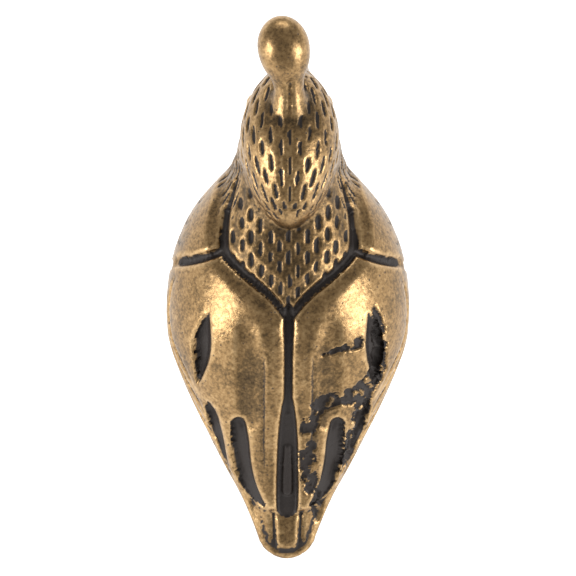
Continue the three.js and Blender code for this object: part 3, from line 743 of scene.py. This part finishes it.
def wanted_edge(points):
    """The edge length that the mesh needs at each point."""
    at = Surroundings(points)
    _, cuts = body_carving(at.x, at.along, at.out)
    near_fault = fault_spread(at.x, at.along) * (at.off > 0.1)
    carved = np.maximum.reduce([
        0.97 * at.on_hood,
        0.95 * at.on_mantle,
        0.9 * at.round_neck,
        0.4 * at.on_breast * (1 - smoothstep(at.off, 0.2, 0.5)),
        smoothstep(near_fault, 0.02, 0.1),
        0.9 * smoothstep(cuts, 0.01, 0.1) * smoothstep(at.off, 0, 0.2),
        0.7 * smoothstep(cuts, 0.01, 0.1),
        0.9 * smoothstep(fine_line(at.across, at.along), 0, 0.1) * at.on_back,
        0.45 * (1 - smoothstep(at.z, 3, 5)),
        0.6 * at.on_plume,
        0.75 * (np.hypot(at.y - 30, at.z - 26) < 4),
    ])
    return lerp(COARSE_EDGE, FINE_EDGE, carved)


def figurine_mesh():
    points, faces = base_mesh()
    points = settle(points, 2)
    for _ in range(5):
        finer, finer_faces = split_long_edges(points, faces, wanted_edge(points))
        if len(finer_faces) > MOST_TRIANGLES:
            break
        points = settle(relax(finer, finer_faces, 0.5), 1)
        faces = finer_faces
        print("quail triangles", len(faces))
    points = settle(relax(points, faces, 0.3), 2)
    at = Surroundings(points)
    depth, recess, worn = engraving(at)
    _, cuts = body_carving(at.x, at.along, at.out)
    bulge = curvature(points, 0.25)
    recess = np.maximum.reduce([recess, smoothstep(cuts, 0.14, 0.32), 0.7 * smoothstep(-bulge, 0.5, 1.2)])
    worn = np.clip(0.6 * worn + smoothstep(bulge, 0.1, 0.6), 0, 1)
    engraved = points - normals_of(points, faces) * depth[:, None]
    engraved[:, 2] = np.maximum(engraved[:, 2], 0)
    return engraved, faces, {"recess": recess, "worn": worn, "tarnish_and_shade": tarnish_and_shade_of(at)}


def make_figurine():
    points, faces, looks = figurine_mesh()
    placed = np.column_stack([-points[:, 0], LENGTH_MIDDLE - points[:, 1], points[:, 2]]) * MM
    mesh = bpy.data.meshes.new("quail_casting")
    mesh.from_pydata(placed.tolist(), [], faces.tolist())
    mesh.validate()
    mesh.shade_smooth()
    for name, values in looks.items():
        mesh.attributes.new(name, "FLOAT", "POINT").data.foreach_set("value", values.astype(np.float32))
    figurine = bpy.data.objects.new("quail_casting", mesh)
    bpy.context.scene.collection.objects.link(figurine)
    return figurine


# Materials

def add_node(tree, kind, **values):
    """A node of a material, with its properties and its unlinked sockets set."""
    node = tree.nodes.new(kind)
    for name, value in values.items():
        if name in node.inputs:
            node.inputs[name].default_value = value
        else:
            setattr(node, name, value)
    return node


def ramp(tree, factor, stops):
    """A color ramp over (place, grey or color) stops."""
    node = tree.nodes.new("ShaderNodeValToRGB")
    while len(node.color_ramp.elements) < len(stops):
        node.color_ramp.elements.new(0.5)
    for element, (place, color) in zip(node.color_ramp.elements, stops):
        element.position = place
        element.color = color if isinstance(color, tuple) else (color, color, color, 1)
    tree.links.new(factor, node.inputs["Fac"])
    return node.outputs["Color"]


def math_node(tree, operation, *inputs):
    """The result of one operation on values that are numbers or other nodes' outputs."""
    node = add_node(tree, "ShaderNodeMath", operation=operation)
    for socket, value in zip(node.inputs, inputs):
        if isinstance(value, (int, float)):
            socket.default_value = value
        else:
            tree.links.new(value, socket)
    return node.outputs[0]


PATINA = (0.028, 0.021, 0.018, 1)
# Darkest brass, used for tarnish and for painted shade
BRASS_TARNISHED_AND_SHADED = (0.062, 0.043, 0.026, 1)
BRASS_DARK = (0.155, 0.101, 0.050, 1)
BRASS = (0.305, 0.190, 0.085, 1)
BRASS_BRIGHT = (0.56, 0.375, 0.185, 1)


def aged_brass():
    material = bpy.data.materials.new("aged_brass")
    material.use_nodes = True
    tree = material.node_tree
    link = tree.links.new
    shader = tree.nodes["Principled BSDF"]
    place = add_node(tree, "ShaderNodeTexCoord").outputs["Object"]
    recess, worn, tarnish_and_shade = (
        add_node(tree, "ShaderNodeAttribute", attribute_name=name).outputs["Fac"]
        for name in ("recess", "worn", "tarnish_and_shade")
    )

    broad = add_node(tree, "ShaderNodeTexNoise", Scale=330, Detail=2, Roughness=0.5)
    mottle = add_node(tree, "ShaderNodeTexNoise", Scale=1400, Detail=3, Roughness=0.6)
    speckle = add_node(tree, "ShaderNodeTexNoise", Scale=4200, Detail=3, Roughness=0.65)
    pits = add_node(tree, "ShaderNodeTexVoronoi", Scale=2500, Randomness=1)
    for texture in (broad, mottle, speckle, pits):
        link(place, texture.inputs["Vector"])

    # Brass: mottled, brighter where it is worn and darker where it is tarnished and where shade is painted in
    tone = math_node(tree, "MULTIPLY_ADD", mottle.outputs["Fac"], 0.45, 0.0)
    tone = math_node(tree, "MULTIPLY_ADD", speckle.outputs["Fac"], 0.75, tone)
    tone = math_node(tree, "MULTIPLY_ADD", broad.outputs["Fac"], 0.3, tone)
    tone = math_node(tree, "MULTIPLY_ADD", worn, 0.22, tone)
    # This attribute carries painted shade as well as tarnish, so it darkens the brass under the nape, in the
    # wing's valley and beside the fine line
    tone = math_node(tree, "MULTIPLY_ADD", tarnish_and_shade, -0.3, tone)
    tone = math_node(tree, "SUBTRACT", tone, 0.2)
    brass = ramp(tree, tone, [(0.2, BRASS_TARNISHED_AND_SHADED), (0.42, BRASS_DARK), (0.58, BRASS), (0.9, BRASS_BRIGHT)])

    # Patina fills the recesses and a few scattered pits
    edge = math_node(tree, "MULTIPLY_ADD", speckle.outputs["Fac"], 0.5, recess)
    dark = ramp(tree, edge, [(0.52, 0.0), (0.82, 1.0)])
    pit = ramp(tree, pits.outputs["Distance"], [(0.12, 1.0), (0.26, 0.0)])
    chosen = ramp(tree, pits.outputs["Color"], [(0.5, 0.0), (0.56, 1.0)])
    pit = math_node(tree, "MULTIPLY", pit, chosen)
    pit = math_node(tree, "MULTIPLY", pit, ramp(tree, mottle.outputs["Fac"], [(0.48, 0.15), (0.58, 0.85)]))
    patina = math_node(tree, "MAXIMUM", dark, pit)

    color = add_node(tree, "ShaderNodeMix", data_type="RGBA")
    link(patina, color.inputs["Factor"])
    link(brass, color.inputs[6])
    color.inputs[7].default_value = PATINA
    link(color.outputs[2], shader.inputs["Base Color"])
    link(math_node(tree, "MULTIPLY_ADD", patina, -0.6, 1.0), shader.inputs["Metallic"])
    rough = math_node(tree, "MULTIPLY_ADD", tarnish_and_shade, 0.12, 0.33)
    rough = math_node(tree, "MULTIPLY_ADD", patina, 0.2, rough)
    link(rough, shader.inputs["Roughness"])

    height = math_node(tree, "MULTIPLY_ADD", speckle.outputs["Fac"], 0.6, mottle.outputs["Fac"])
    height = math_node(tree, "MULTIPLY_ADD", pit, -0.5, height)
    bump = add_node(tree, "ShaderNodeBump", Strength=0.45, Distance=0.00005)
    link(height, bump.inputs["Height"])
    link(bump.outputs["Normal"], shader.inputs["Normal"])
    return material


def floor_material():
    """A pale floor, lit from below as a light table is."""
    material = bpy.data.materials.new("pale_floor")
    material.use_nodes = True
    shader = material.node_tree.nodes["Principled BSDF"]
    shader.inputs["Base Color"].default_value = (0.9, 0.9, 0.9, 1)
    shader.inputs["Roughness"].default_value = 0.9
    shader.inputs["Emission Color"].default_value = (1, 1, 1, 1)
    shader.inputs["Emission Strength"].default_value = FLOOR_GLOW
    return material


# Floor, lights and camera

FLOOR_GLOW = 0.75
SKY_GLOW = 0.42
CAMERA_DISTANCE = 450
CAMERA_LIFT = math.radians(70)
CAMERA_TURN = math.radians(1.5)
VIEW_WIDTH = 42.7  # of the whole picture, at the bird
LOOK_ALONG = 20.2
LOOK_OUT = 3.3


def world_place(across, along, out):
    """A place given on the back's own axes, in metres in the scene."""
    c, s = math.cos(BACK_SLOPE), math.sin(BACK_SLOPE)
    ahead = along * c - out * s
    up = TAIL_HEIGHT + along * s + out * c
    return Vector((-across, LENGTH_MIDDLE - ahead, up)) * MM


def aim(thing, place, target, top):
    """Puts a light or camera at a place, looking at the target, with its top towards a direction."""
    back = (place - target).normalized()
    side = top.cross(back).normalized()
    turned = Matrix((side, back.cross(side), back)).transposed().to_4x4()
    thing.matrix_world = Matrix.Translation(place) @ turned


def make_camera():
    data = bpy.data.cameras.new("camera")
    data.sensor_width = 36
    data.lens = 36 * CAMERA_DISTANCE / VIEW_WIDTH
    data.clip_start = 0.01
    camera = bpy.data.objects.new("camera", data)
    bpy.context.scene.collection.objects.link(camera)
    target = world_place(0, LOOK_ALONG, LOOK_OUT)
    level = math.cos(CAMERA_LIFT)
    towards = Vector((math.sin(CAMERA_TURN) * level, math.cos(CAMERA_TURN) * level, math.sin(CAMERA_LIFT)))
    aim(camera, target + towards * CAMERA_DISTANCE * MM, target, Vector((0, -1, 0)))
    bpy.context.scene.camera = camera


def add_softbox(name, direction, distance, size, power):
    data = bpy.data.lights.new(name, "AREA")
    data.shape = "RECTANGLE"
    data.size, data.size_y = size
    data.energy = power
    light = bpy.data.objects.new(name, data)
    bpy.context.scene.collection.objects.link(light)
    bird = Vector((0, 0, 0.016))
    aim(light, bird + Vector(direction).normalized() * distance, bird, Vector((0, -0.1, 1)))


def make_studio():
    mesh = bpy.data.meshes.new("floor")
    reach = 1.5
    corners = [(-reach, -reach, 0), (reach, -reach, 0), (reach, reach, 0), (-reach, reach, 0)]
    mesh.from_pydata(corners, [], [(0, 1, 2, 3)])
    floor = bpy.data.objects.new("floor", mesh)
    floor.data.materials.append(floor_material())
    bpy.context.scene.collection.objects.link(floor)
    add_softbox("left_softbox", (0.86, 0.44, 0.27), 0.5, (0.2, 0.2), 1.3)
    add_softbox("right_softbox", (-0.86, 0.44, 0.27), 0.5, (0.2, 0.2), 1.3)
    add_softbox("front_softbox", (0, -0.75, 0.66), 0.6, (0.5, 0.25), 1.2)
    world = bpy.data.worlds.new("studio")
    world.use_nodes = True
    world.node_tree.nodes["Background"].inputs["Color"].default_value = (1, 1, 1, 1)
    world.node_tree.nodes["Background"].inputs["Strength"].default_value = SKY_GLOW
    bpy.context.scene.world = world
    bpy.context.scene.view_settings.view_transform = "Standard"


quail = make_figurine()
quail.data.materials.append(aged_brass())
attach(quail, "root")
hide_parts(NODE)
make_camera()
make_studio()
